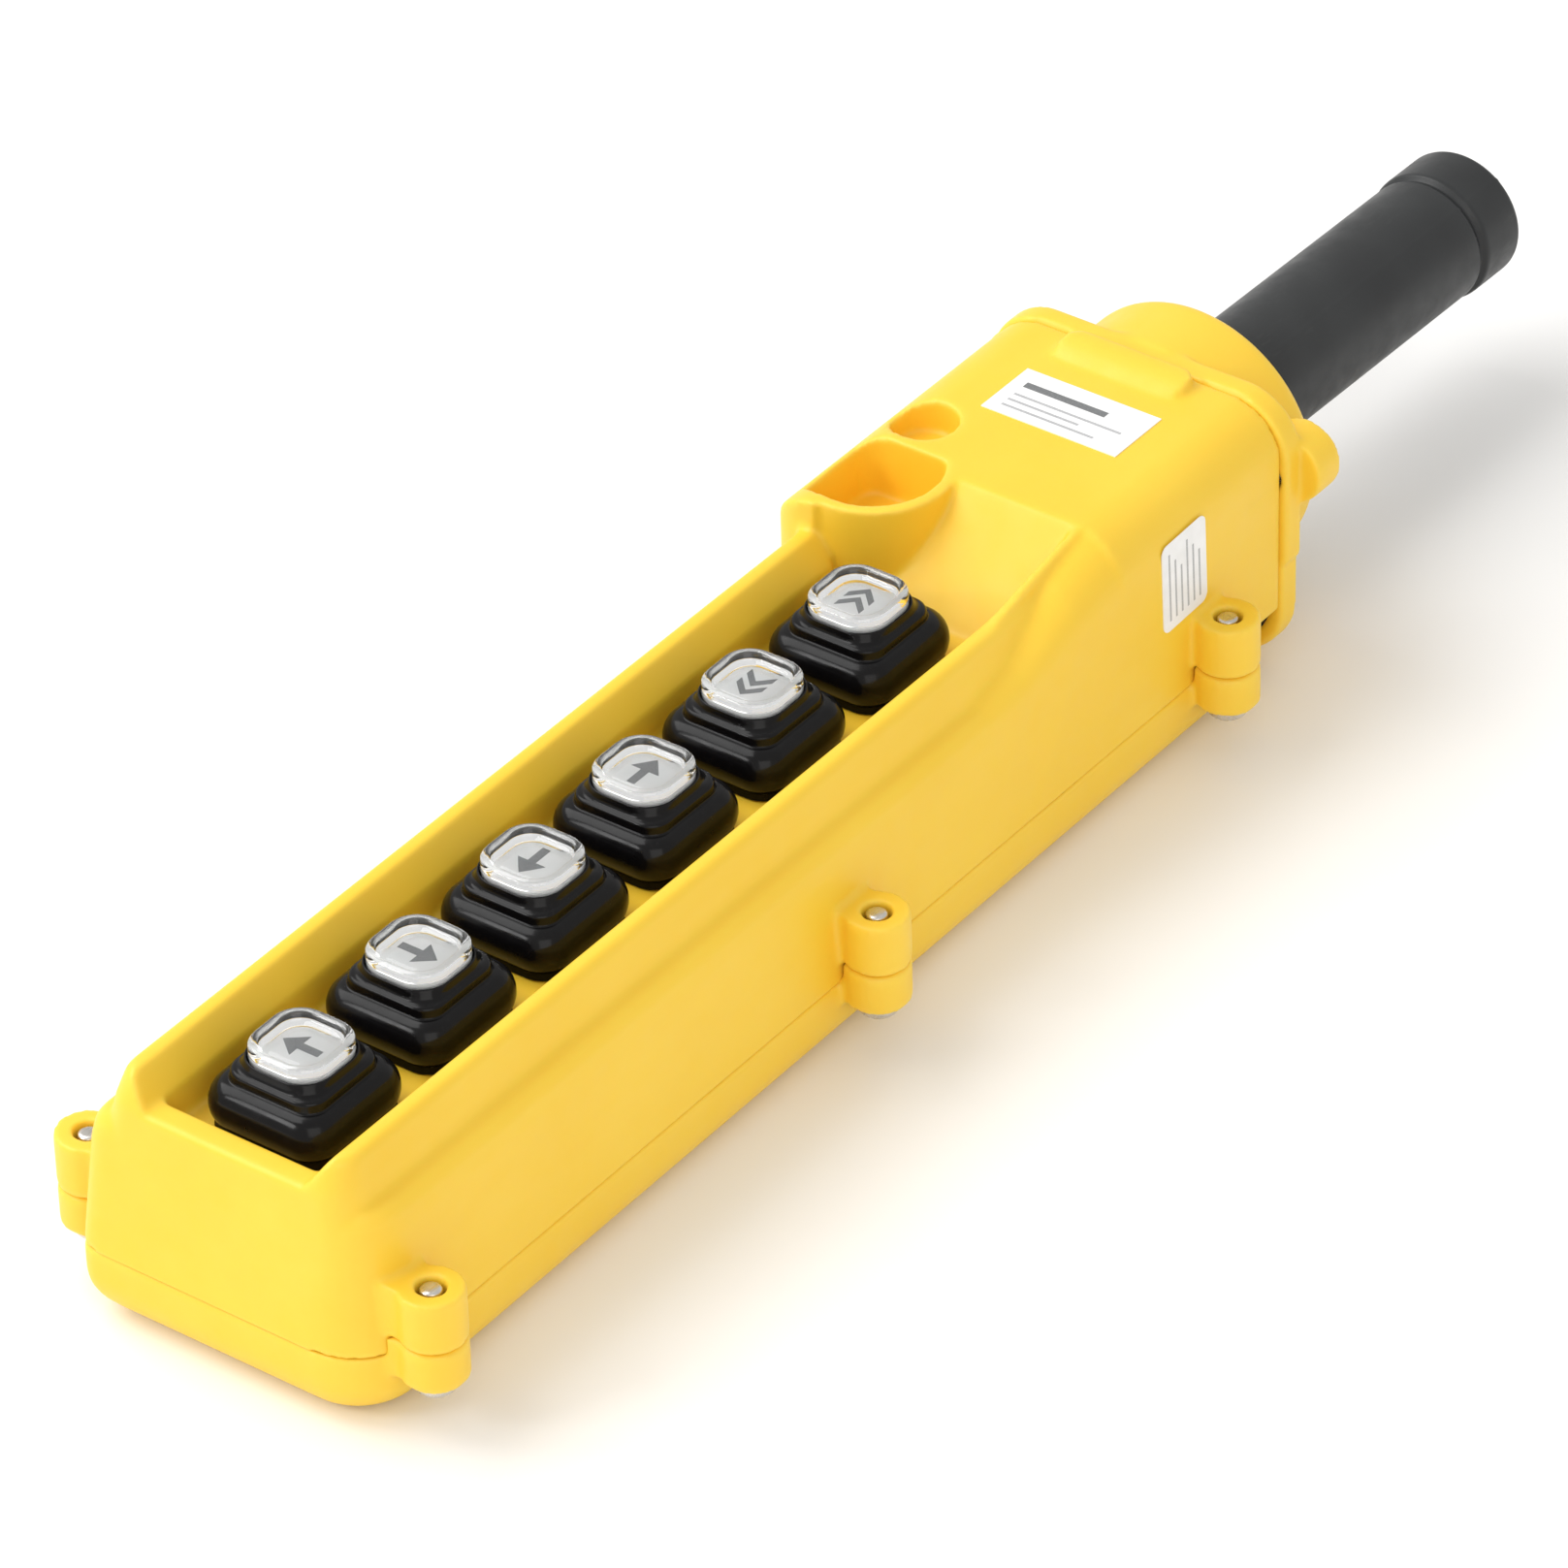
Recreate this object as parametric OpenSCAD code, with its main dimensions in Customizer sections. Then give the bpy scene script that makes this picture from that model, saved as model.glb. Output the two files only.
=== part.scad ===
// Pendant control station for a hoist, lying on its back: X across, Y towards the cable end, Z out of the
// button face. The origin is at the middle of its footprint, on the rear face. Distances along the station
// are counted from its closed end and moved to the origin by along().

/* [Case] */
// Width of the case at the parting line
case_w = 65; // [64:0.5:66]
// Height of the parting line above the rear face
split_z = 15; // [14.5:0.25:15.5]
// Wall thickness of the mouldings
wall = 2.8; // [2.6:0.1:3]
// Height of the head above the rear face
head_top = 59; // [58.5:0.25:59.5]
// Height of the side rims above the rear face
rim_top = 53; // [52.5:0.25:53.5]
// Distance of the case screws from the middle plane
ear_x = 37.2; // [36.8:0.1:37.6]

/* [Buttons] */
// Distance from one button to the next
pitch = 32; // [31.5:0.1:32.5]
// Outer width of a rubber boot
boot_w = 26.8; // [26:0.2:27.4]
// Width of a clear cap
cap_w = 16.4; // [15.8:0.2:17]
// Height of the caps above the rear face, with the buttons at rest
cap_top = 57.2; // [56.8:0.1:57.4]

/* [Cable end] */
// Outer radius of the rubber sleeve
sleeve_r = 13; // [12.6:0.1:13.2]
// Radius of the cable bore through the sleeve
cable_r = 7.5; // [6:0.25:8]
// Outer radius of the collar at the sleeve's end
collar_r = 13.5; // [13.3:0.1:13.8]

/* [Hidden] */
$fn = 64;
eps = 0.01;
big = 200;

// Distances along the station from the closed end
total_l = 385.2;
cover_l = 273.6;
bell_start = cover_l + 0.05;
bell_plate = 279;
gasket_t = 0.8;
bell_end = 294.2;
bell_hollow_d = 288;
bell_hollow_r = 22;
collar_start = 373;
first_button = 25.3;
button_count = 6;
ear_d = [11.2, 138.7, 248.8];
trough_start = 8.4;
trough_end = 203;
ramp_top_d = 222.5;
head_front_d = 201;
fairing_d = 188;

// Heights above the rear face
ear_bottom = 11;
ear_split_z = 19.3;
ear_top = 30;
floor_z = 40.5;
ledge_z = 47;
shoulder_z = 43.6;
floor_t = 2.5;
bar_h = 2.3;
bar_d = 269.25;
bar_l = 8.6;
bar_curve_r = 12;
sleeve_z = 32.8;

// Half widths
case_x = case_w / 2;
ledge_x = 17.2;
rim_in_x = 21.2;
rim_out_x = 24;
cavity_x = case_x - 3.9;
corner_r = 13;
tight_r = 4.5;
ear_reach = ear_x - cavity_x - 0.9;
head_r = 11.2;
bottom_r = 9;
ear_r = 6.1;
ear_web = 4.8;

// Finger pocket and round pocket in the head
pocket_x = -19.8;
pocket_d = 217.7;
pocket_r = 13.1;
pocket_far_d = 226.1;
pocket_side_x = -27.2;
pocket_floor_z = 46;
pocket_bowl_r = 6;
pocket_corner_r = 4.5;
boss_wall = 2.6;
round_x = -20.8;
round_d = 235;
round_r = 6.4;
round_floor_z = 52;

// Button stack
flange_w = 30;
flange_t = 1.3;
plate_t = 1.5;
flange_z = floor_z - floor_t - flange_t;
plate_z = flange_z - plate_t;
neck_w = 21;
tier1_z = 48.3;
tier2_w = 20.4;
boot_top = 52.4;
cap_z = 53.3;
stem_r = 3;
guide_r = 3.05;
rail_z = 6;
rail_t = 1.5;
block_z = rail_z + rail_t;
block_top = 33;
block_w = 24;
spring_r = 5.4;
spring_wire = 0.5;
spring_turns = 4.5;
seat_z = 46.6;

// Fasteners
m4_r = 2;
m4_head_r = 3.9;
m4_head_h = 3.1;
m3_r = 1.5;
m3_head_r = 2.8;
m3_head_h = 2.2;
bell_post_r = 2.7;
bell_post_l = 14;
plate_post_r = 2.4;
rail_post_r = 3.6;
clamp_post_r = 4;
tip_recess_r = 2.75;
tip_recess_z = 24;
case_screw_l = 17.1;
bell_screw_l = 20;
clamp_screw_l = 28;
hole_play = 0.12;

// Cable end
lug_x = 30.6;
lug_z = 43.4;
lug_r = 7.2;
lug_end = 285.2;
bell_screw_x = 29.6;
barrel_r = 27;
barrel_edge_r = 2.5;
barrel_l = bell_end - bell_plate + 1;
bell_lip = 0.9;
bell_lip_z = 25;
bell_r = 12;
slit_depth = 0.7;
seal_in = 2.6;
seal_top = head_top - 2.2;
seal_corner_x = case_x - 13;
seal_corner_r = 10.2;
slit_x = [[-23.5, -15.5], [14, 25]];
ring_screw_r = 18.7;
clamp_d = 262;
clamp_x = 14.5;

// Inside fittings
plate_screw_x = [-14.2, 14.2];
plate_screw_d = [first_button + pitch * 0.5, first_button + pitch * 2.5, first_button + pitch * 4.5];
rail_post_d = [first_button - 16, first_button + pitch * 2.5, first_button + pitch * 5.5];
saddle_z = 12;
step_z = 5.2;
terminal_d = 230;
terminal_ways = 4;
terminal_step = 6.4;
ring_screw_angles = [45 : 90 : 315];
ring_d = 282.6;
flange_d = 284.4;

module along(d) {
    translate([0, d - total_l / 2, 0]) children();
}

// Plan outline of the case: its corner on the left of the closed end is tighter than the others
module case_plan(hw, d0, d1, r) {
    plan(hw, d0, d1, r);
    translate([-hw + tight_r, d0]) square([hw, d1 - d0 - r]);
    translate([-hw, d0 + tight_r]) square([hw, d1 - d0 - tight_r - r]);
    translate([-hw + tight_r, d0 + tight_r]) circle(tight_r);
}

// Plan outline with round corners, from distance d0 to d1
module plan(hw, d0, d1, r) {
    translate([-hw + r, d0]) square([2 * (hw - r), d1 - d0]);
    translate([-hw, d0 + r]) square([2 * hw, d1 - d0 - 2 * r]);
    for (x = [-hw + r, hw - r], d = [d0 + r, d1 - r]) {
        translate([x, d]) circle(r);
    }
}

// Thin slab of a plan outline at height z, used as a child of hull()
module slab(z, hw, d0, d1, r) {
    translate([0, 0, z]) linear_extrude(eps) case_plan(hw, d0, d1, r, $fn = 32);
}

// Block with round upright edges, centred on its own axis
module rounded_block(w, l, h, r) {
    linear_extrude(h) {
        square([w - 2 * r, l], center = true);
        square([w, l - 2 * r], center = true);
        for (x = [-1, 1], y = [-1, 1]) {
            translate([x * (w / 2 - r), y * (l / 2 - r)]) circle(r);
        }
    }
}

// Extrudes an X-Z outline along the station from distance d0 to d1
module run(d0, d1) {
    translate([0, d1, 0]) rotate([90, 0, 0]) linear_extrude(d1 - d0) children();
}

// Extrudes a Y-Z outline across the station from -hw to hw
module across(hw) {
    translate([-hw, 0, 0]) rotate([90, 0, 90]) linear_extrude(2 * hw) children();
}

// X-Z outline of the head: slightly drafted walls and round top edges
module head_outline(hw, z0, z1, r) {
    translate([-hw, z0]) square([2 * hw, z1 - r - z0]);
    translate([-hw + r, z0]) square([2 * (hw - r), z1 - z0]);
    for (x = [-hw + r, hw - r]) {
        translate([x, z1 - r]) circle(r);
    }
}

// Screw along +Z with its head below z = 0, a domed tip and a cross recess
module screw(r, head_r, head_h, shank) {
    dome = head_r * 1.35;
    difference() {
        intersection() {
            translate([0, 0, -head_h]) cylinder(r = head_r, h = head_h);
            translate([0, 0, dome - head_h]) sphere(dome);
        }
        for (a = [0, 90]) {
            rotate([0, 0, a]) cube([head_r * 1.1, head_r * 0.28, head_h * 1.1], center = true);
            rotate([0, 0, a]) translate([0, 0, -head_h]) {
                cube([head_r * 1.1, head_r * 0.28, head_h * 1.1], center = true);
            }
        }
    }
    cylinder(r = r, h = shank);
    translate([0, 0, shank]) intersection() {
        sphere(r);
        cylinder(r = r, h = r * 0.75);
    }
}

module at_ears() {
    for (side = [-1, 1], d = ear_d) {
        translate([side * ear_x, d, 0]) children();
    }
}

// Ear boss between two heights, with its web to the case wall
module ear(z0, z1, side) {
    translate([0, 0, z0]) {
        cylinder(r = ear_r, h = z1 - z0);
        translate([side > 0 ? -ear_reach : 0, -ear_web, 0]) cube([ear_reach, 2 * ear_web, z1 - z0]);
    }
}

module ears(z0, z1) {
    for (side = [-1, 1], d = ear_d) {
        translate([side * ear_x, d, 0]) ear(z0, z1, side);
    }
}

// Lower part of the front cover: drafted walls that turn in at a round shoulder
module cover_base() {
    hull() {
        slab(split_z, case_x, 0, cover_l, corner_r);
        slab(37.5, 30.7, 2.1, cover_l, 11.5);
        slab(41, 29.9, 2.7, cover_l, 10.5);
        slab(42.9, 28.4, 3.6, cover_l, 9);
        slab(shoulder_z - eps, 25.8, 5, cover_l, 8);
    }
}

// Upstanding walls on both sides of the button trough
module cover_rims() {
    hull() {
        slab(36, 27.4, 2, 212, 7);
        slab(ledge_z, 25.6, 3.1, 212, 6);
        slab(rim_top - 1, 24.4, 5, 212, 5);
        slab(rim_top - eps, rim_out_x - 0.6, 5.9, 212, 4.5);
    }
}

// Head block: ramp side on the right, an upright round corner and the pocket's boss on the left
module cover_head() {
    intersection() {
        run(fairing_d, cover_l) head_outline(case_x - 0.2, split_z, head_top, head_r);
        translate([0, 0, split_z]) linear_extrude(big) {
            translate([-case_x, ramp_top_d]) square([case_w, big]);
            translate([-case_x, head_front_d + 7]) square([case_x, big]);
            translate([-case_x + 7, head_front_d]) square([10, 10]);
            translate([-case_x + 7, head_front_d + 7]) circle(7);
            translate([pocket_x, pocket_d]) circle(pocket_r + boss_wall);
            translate([0, trough_end - 5]) square([rim_in_x - 0.2, big]);
        }
    }
}

// Cross-section of the right side of the case where it rises into the head, as a thin plate
module rise_section(d, top, half_w, r) {
    run(d, d + eps) {
        polygon([
            [15, split_z], [case_x - 0.15, split_z], [half_w, top - r], [half_w - r, top], [15, top]
        ]);
        translate([half_w - r, top - r]) circle(r, $fn = 32);
    }
}

// The right side of the case rising into the head in a soft curve
module fairing() {
    hull() {
        rise_section(fairing_d - 10, 42.8, 30.2, 5);
        rise_section(fairing_d + 6, 46.4, 30.9, 6.5);
    }
    hull() {
        rise_section(fairing_d + 6, 46.4, 30.9, 6.5);
        rise_section(fairing_d + 22, 54.4, 31.8, 9.5);
    }
    hull() {
        rise_section(fairing_d + 22, 54.4, 31.8, 9.5);
        rise_section(ramp_top_d + 3, head_top, case_x - 0.2, head_r);
    }
}

// Right rim rising towards the top of the head
module rim_rise() {
    hull() {
        translate([20, 193, 40]) cube([3.6, eps, rim_top - 40]);
        translate([20, ramp_top_d + 1, 40]) cube([3, eps, head_top - 40]);
    }
}

// Space above the trough floor and the ramp, clear of the pocket's boss
module trough_space() {
    difference() {
        union() {
            translate([0, 0, floor_z]) linear_extrude(big) plan(ledge_x, trough_start, trough_end, 1.6);
            run(-5, trough_end) polygon([
                [-ledge_x, ledge_z], [ledge_x, ledge_z], [rim_in_x, rim_top], [rim_in_x, big],
                [-rim_in_x, big], [-rim_in_x, rim_top]
            ]);
            ramp_space();
        }
        translate([pocket_x, pocket_d, 0]) cylinder(r = pocket_r + boss_wall, h = big);
    }
}

// Space above the ramp
module ramp_space() {
    intersection() {
        run(trough_end - 2, ramp_top_d + 1) polygon([
            [pocket_x, floor_z], [ledge_x, floor_z], [ledge_x, ledge_z], [rim_in_x - 0.4, rim_top],
            [21.8, head_top], [21.8, big], [pocket_x, big]
        ]);
        across(case_x) polygon([
            [trough_end - 3, floor_z], [trough_end, floor_z], [ramp_top_d, head_top + 0.2],
            [ramp_top_d, big], [trough_end - 3, big]
        ]);
    }
}

// Finger pocket, a bowl that is cut off flat along the side of the head and towards the label
module pocket(grow) {
    r = pocket_r + grow;
    corner = pocket_corner_r + grow;
    intersection() {
        translate([pocket_x, pocket_d, pocket_floor_z - grow]) rotate_extrude() {
            square([r - pocket_bowl_r, 40]);
            translate([0, pocket_bowl_r]) square([r, 40]);
            translate([r - pocket_bowl_r, pocket_bowl_r]) intersection() {
                circle(pocket_bowl_r);
                translate([0, -pocket_bowl_r]) square(pocket_bowl_r);
            }
        }
        linear_extrude(big) {
            translate([pocket_side_x - grow, pocket_d - 30]) {
                square([60, pocket_far_d - pocket_d + 30 - pocket_corner_r]);
            }
            translate([pocket_side_x - grow + corner, pocket_d - 30]) {
                square([60, pocket_far_d + grow - pocket_d + 30]);
            }
            translate([pocket_side_x - grow + corner, pocket_far_d + grow - corner]) circle(corner);
        }
    }
}

// Hollow of the front cover, open at the parting line
module cover_hollow() {
    translate([0, 0, split_z - eps]) linear_extrude(floor_z - floor_t - split_z) {
        plan(cavity_x, 4.8, cover_l - wall, 9);
    }
    for (side = [-1, 1]) {
        translate([side * 21.8, 100, 30]) rounded_block(3.4, 176, 17.3, 1.5);
    }
    difference() {
        intersection() {
            run(195, cover_l - wall) head_outline(cavity_x, split_z, head_top - wall, head_r - wall);
            across(case_x) polygon([
                [206, split_z], [206, 38], [225.5, 56.5], [225.5, big], [big * 2, big], [big * 2, split_z]
            ]);
        }
        pocket(boss_wall);
        translate([round_x, round_d, round_floor_z - wall]) cylinder(r = round_r + wall, h = big);
    }
}

// Raised bar on top of the head, highest at its far edge
module raised_bar() {
    intersection() {
        translate([0, bar_d, head_top - 1]) rounded_block(28.4, bar_l, bar_h + 1, 4);
        translate([-20, bar_d + bar_l * 0.3, head_top + bar_h - bar_curve_r]) rotate([0, 90, 0]) {
            cylinder(r = bar_curve_r, h = 40);
        }
    }
}

module front_cover() {
    color([0.98, 0.8, 0.14]) along(0) difference() {
        union() {
            cover_base();
            cover_rims();
            cover_head();
            fairing();
            rim_rise();
            ears(ear_split_z, ear_top);
            raised_bar();
            // Inner posts for the bell screws
            for (side = [-1, 1]) {
                translate([side * bell_screw_x, cover_l, lug_z]) rotate([90, 0, 0]) {
                    cylinder(r = bell_post_r, h = bell_post_l);
                }
            }
        }
        difference() {
            cover_hollow();
            for (side = [-1, 1]) {
                translate([side * bell_screw_x, cover_l, lug_z]) rotate([90, 0, 0]) {
                    cylinder(r = bell_post_r + 1.9, h = bell_post_l);
                }
            }
            // Posts that take the screws of the boot plate
            for (x = plate_screw_x, d = plate_screw_d) {
                translate([x, d, flange_z]) cylinder(r = plate_post_r, h = big);
            }
        }
        trough_space();
        // Finger pocket and round pocket
        pocket(0);
        translate([round_x, round_d, round_floor_z]) cylinder(r = round_r, h = big);
        // Holes for the boots
        for (i = [0 : button_count - 1]) {
            translate([0, first_button + pitch * i, flange_z - eps]) {
                rounded_block(neck_w + 0.6, neck_w + 0.6, 10, 4);
            }
        }
        // Screw holes in the ears, wider where the screw tip shows
        at_ears() {
            translate([0, 0, split_z - eps]) cylinder(r = m4_r + hole_play, h = big);
            translate([0, 0, tip_recess_z]) cylinder(r = tip_recess_r, h = big);
        }
        for (side = [-1, 1]) {
            translate([side * bell_screw_x, cover_l + eps, lug_z]) rotate([90, 0, 0]) {
                cylinder(r = m4_r + hole_play, h = 12);
            }
        }
        for (x = plate_screw_x, d = plate_screw_d) {
            translate([x, d, flange_z - 1]) cylinder(r = m3_r, h = 3.4);
        }
        // Passage for the cable through the end wall
        translate([0, cover_l + 1, sleeve_z]) rotate([90, 0, 0]) cylinder(r = 13, h = wall + 2);
    }
}

module rear_casing() {
    color([0.97, 0.76, 0.12]) along(0) difference() {
        union() {
            hull() {
                for (a = [0 : 15 : 90]) {
                    slab(bottom_r * (1 - cos(a)), case_x - bottom_r * (1 - sin(a)),
                        bottom_r * (1 - sin(a)), cover_l, corner_r - 7 * (1 - sin(a)));
                }
                slab(split_z - eps, case_x, 0, cover_l, corner_r);
            }
            ears(ear_bottom, split_z);
            // The lower ear halves rise beside the front cover
            difference() {
                ears(split_z - 1, ear_split_z);
                translate([0, 0, split_z - 2]) linear_extrude(10) case_plan(case_x + 0.05, -0.05, cover_l, corner_r);
            }
        }
        difference() {
            union() {
                translate([0, 0, wall]) linear_extrude(big) plan(cavity_x - 3, 8, cover_l - wall - 3, 6);
                translate([0, 0, step_z]) linear_extrude(big) plan(cavity_x, 4.8, cover_l - wall, 9);
            }
            // Posts under the contact rail, the terminal block and the cable clamp
            for (d = rail_post_d) {
                translate([0, d, 0]) cylinder(r = rail_post_r, h = rail_z);
            }
            for (side = [-1, 1]) {
                translate([side * clamp_x, clamp_d, 0]) cylinder(r = clamp_post_r, h = saddle_z);
            }
            translate([-14, terminal_d - 6, 0]) cube([28, 12, rail_z]);
        }
        // Groove for the sealing cord
        translate([0, 0, split_z - 1.1]) linear_extrude(2) difference() {
            plan(case_x - 1.3, 1.3, cover_l - 0.8, corner_r - 1.3);
            plan(case_x - 2.9, 2.9, cover_l - 2.2, corner_r - 2.9);
        }
        at_ears() cylinder(r = m4_r + hole_play, h = big);
        for (d = rail_post_d) {
            translate([0, d, 1.6]) cylinder(r = m3_r - 0.25, h = big);
        }
        for (side = [-1, 1]) {
            translate([side * clamp_x, clamp_d, 3]) cylinder(r = m3_r, h = big);
        }
    }
}

// Sealing cord in the groove at the parting line
module case_gasket() {
    color([0.12, 0.12, 0.12]) along(0) translate([0, 0, split_z - 1.05]) linear_extrude(1.05) {
        difference() {
            plan(case_x - 1.4, 1.4, cover_l - 0.9, corner_r - 1.4);
            plan(case_x - 2.8, 2.8, cover_l - 2.1, corner_r - 2.8);
        }
    }
}

module case_screws() {
    color([0.75, 0.75, 0.74]) along(0) at_ears() {
        translate([0, 0, ear_bottom]) screw(m4_r, m4_head_r, m4_head_h, case_screw_l);
    }
}

// Section of the end bell's plate, a little larger than the head all round
module bell_outline() {
    head_outline(case_x + bell_lip, bell_lip_z, head_top + 0.3, bell_r);
    translate([-case_x, 14]) square([case_w, 20]);
    translate([-case_x + bell_r, 14 - bell_r]) square([case_w - 2 * bell_r, 20]);
    for (x = [-case_x + bell_r, case_x - bell_r]) {
        translate([x, 14]) circle(bell_r);
    }
}

// Outline of the flat seal between the case and the end bell
module seal_outline(grow) {
    head_outline(case_x - seal_in + grow, split_z - 1, seal_top + grow, head_r);
    translate([-seal_corner_x, split_z - seal_corner_r - grow]) square([2 * seal_corner_x, 20]);
    for (x = [-seal_corner_x, seal_corner_x]) {
        translate([x, split_z]) circle(seal_corner_r + grow);
    }
}

module end_bell() {
    color([0.98, 0.79, 0.14]) along(0) difference() {
        union() {
            run(bell_start, bell_plate) bell_outline();
            translate([0, bell_plate - 1, sleeve_z]) rotate([-90, 0, 0]) rotate_extrude() {
                square([barrel_r - barrel_edge_r, barrel_l]);
                square([barrel_r, barrel_l - barrel_edge_r]);
                translate([barrel_r - barrel_edge_r, barrel_l - barrel_edge_r]) circle(barrel_edge_r);
            }
            for (side = [-1, 1]) {
                translate([side * lug_x, bell_plate - 1, lug_z]) rotate([-90, 0, 0]) {
                    cylinder(r = lug_r, h = lug_end - bell_plate + 1);
                }
            }
        }
        // Recess of the seal, and two shallow slits in front of the plate's top edge
        run(bell_start - 1, bell_start + gasket_t) seal_outline(0.05);
        for (x = slit_x) {
            translate([x[0], bell_start - 1, head_top - 0.9]) cube([x[1] - x[0], 1 + slit_depth, 5]);
        }
        // Hollow behind the plate and the stepped bore of the sleeve
        translate([0, bell_start - 1, sleeve_z]) rotate([-90, 0, 0]) {
            cylinder(r = bell_hollow_r, h = bell_hollow_d - bell_start + 1);
        }
        translate([0, bell_start, sleeve_z]) rotate([-90, 0, 0]) cylinder(r = sleeve_r + 0.1, h = 40);
        for (side = [-1, 1]) {
            translate([side * bell_screw_x, bell_start - 1, lug_z]) rotate([-90, 0, 0]) {
                cylinder(r = m4_r + hole_play, h = 40);
            }
        }
        for (a = ring_screw_angles) {
            translate([0, bell_hollow_d - 1, sleeve_z]) rotate([-90, 0, 0]) rotate([0, 0, a]) {
                translate([ring_screw_r, 0, 0]) cylinder(r = m3_r, h = 5);
            }
        }
    }
}

// Flat seal between the case and the end bell
module bell_gasket() {
    color([0.12, 0.12, 0.12]) along(0) difference() {
        run(bell_start, bell_start + gasket_t - 0.02) seal_outline(0);
        translate([0, cover_l - 1, sleeve_z]) rotate([-90, 0, 0]) cylinder(r = 20, h = 4);
        for (side = [-1, 1]) {
            translate([side * bell_screw_x, cover_l - 1, lug_z]) rotate([-90, 0, 0]) {
                cylinder(r = 2.4, h = 4);
            }
        }
    }
}

module bell_screws() {
    color([0.75, 0.75, 0.74]) along(0) for (side = [-1, 1]) {
        translate([side * bell_screw_x, lug_end, lug_z]) rotate([90, 0, 0]) {
            screw(m4_r, m4_head_r, m4_head_h, bell_screw_l);
        }
    }
}

// Rubber sleeve with an inner flange, a long plain grip and a thicker collar
module grip_sleeve() {
    color([0.16, 0.165, 0.17]) along(0) translate([0, 0, sleeve_z]) rotate([-90, 0, 0]) rotate_extrude() {
        difference() {
            union() {
                translate([0, flange_d]) square([16.4, 3.4]);
                translate([0, flange_d]) square([sleeve_r, total_l - flange_d - 1]);
                translate([0, collar_start]) square([collar_r, total_l - collar_start - 1.5]);
                translate([0, collar_start]) square([collar_r - 1.5, total_l - collar_start]);
                translate([collar_r - 1.5, total_l - 1.5]) circle(1.5);
            }
            translate([-20, 280]) square([20 + cable_r, 120]);
            translate([sleeve_r - 0.6, collar_start - 1]) square([5, 1]);
        }
    }
}

// Metal ring that holds the sleeve's flange inside the end bell
module sleeve_ring() {
    color([0.7, 0.71, 0.72]) along(0) difference() {
        translate([0, ring_d, sleeve_z]) rotate([-90, 0, 0]) cylinder(r = 21.3, h = 1.8);
        translate([0, 280, sleeve_z]) rotate([-90, 0, 0]) cylinder(r = cable_r + 1.5, h = 10);
        for (a = ring_screw_angles) {
            translate([0, 280, sleeve_z]) rotate([-90, 0, 0]) rotate([0, 0, a]) {
                translate([ring_screw_r, 0, 0]) cylinder(r = m3_r + hole_play, h = 10);
            }
        }
    }
}

module ring_screws() {
    color([0.75, 0.75, 0.74]) along(0) for (a = ring_screw_angles) {
        translate([0, ring_d, sleeve_z]) rotate([-90, 0, 0]) rotate([0, 0, a]) {
            translate([ring_screw_r, 0, 0]) screw(m3_r - 0.05, m3_head_r, m3_head_h, 7);
        }
    }
}

// Lower and upper half of the cable clamp in the head
module clamp_saddle() {
    color([0.7, 0.71, 0.72]) along(0) difference() {
        translate([0, clamp_d, saddle_z]) rounded_block(38, 10, sleeve_z - saddle_z - 0.4, 2);
        translate([0, clamp_d - 10, sleeve_z]) rotate([-90, 0, 0]) cylinder(r = cable_r, h = 20);
        for (side = [-1, 1]) {
            translate([side * clamp_x, clamp_d, 0]) cylinder(r = m3_r + hole_play, h = big);
        }
    }
}

module clamp_strap() {
    color([0.7, 0.71, 0.72]) along(0) difference() {
        union() {
            translate([0, clamp_d, sleeve_z + 0.4]) rounded_block(38, 9, 2.4, 2);
            translate([0, clamp_d - 4.5, sleeve_z]) rotate([-90, 0, 0]) cylinder(r = cable_r + 2.4, h = 9);
        }
        translate([0, clamp_d - 10, sleeve_z]) rotate([-90, 0, 0]) cylinder(r = cable_r, h = 20);
        translate([-30, clamp_d - 10, 0]) cube([60, 20, sleeve_z + 0.4]);
        for (side = [-1, 1]) {
            translate([side * clamp_x, clamp_d, 0]) cylinder(r = m3_r + hole_play, h = big);
        }
    }
}

module clamp_screws() {
    color([0.75, 0.75, 0.74]) along(0) for (side = [-1, 1]) {
        translate([side * clamp_x, clamp_d, sleeve_z + 2.8]) rotate([180, 0, 0]) {
            screw(m3_r - 0.05, m3_head_r, m3_head_h, clamp_screw_l);
        }
    }
}

// Plate that clamps the flanges of the boots against the underside of the trough
module boot_plate() {
    color([0.72, 0.73, 0.74]) along(0) difference() {
        translate([0, 0, plate_z]) linear_extrude(plate_t) {
            plan(17.5, first_button - 17, first_button + pitch * 5 + 15.6, 3);
        }
        for (i = [0 : button_count - 1]) {
            translate([0, first_button + pitch * i, plate_z - 1]) cylinder(r = 8.2, h = 5);
        }
        for (x = plate_screw_x, d = plate_screw_d) {
            translate([x, d, plate_z - 1]) cylinder(r = m3_r + hole_play, h = 5);
        }
    }
}

module boot_plate_screws() {
    color([0.75, 0.75, 0.74]) along(0) for (x = plate_screw_x, d = plate_screw_d) {
        translate([x, d, plate_z]) screw(m3_r - 0.05, m3_head_r, 1.7, 2.3);
    }
}

// Rail that carries the contact blocks
module chassis_rail() {
    color([0.72, 0.73, 0.74]) along(0) difference() {
        translate([0, 0, rail_z]) linear_extrude(rail_t) plan(10, 6, 206, 2);
        for (d = rail_post_d) {
            translate([0, d, 0]) cylinder(r = m3_r + hole_play, h = 20);
        }
        for (i = [0 : button_count - 1], y = [-8, 8]) {
            translate([0, first_button + pitch * i + y, 0]) cylinder(r = 1.5, h = 20);
        }
    }
}

module rail_screws() {
    color([0.75, 0.75, 0.74]) along(0) for (d = rail_post_d) {
        translate([0, d, rail_z + rail_t]) rotate([180, 0, 0]) {
            screw(m3_r - 0.3, m3_head_r, m3_head_h, 4.6);
        }
    }
}

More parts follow.
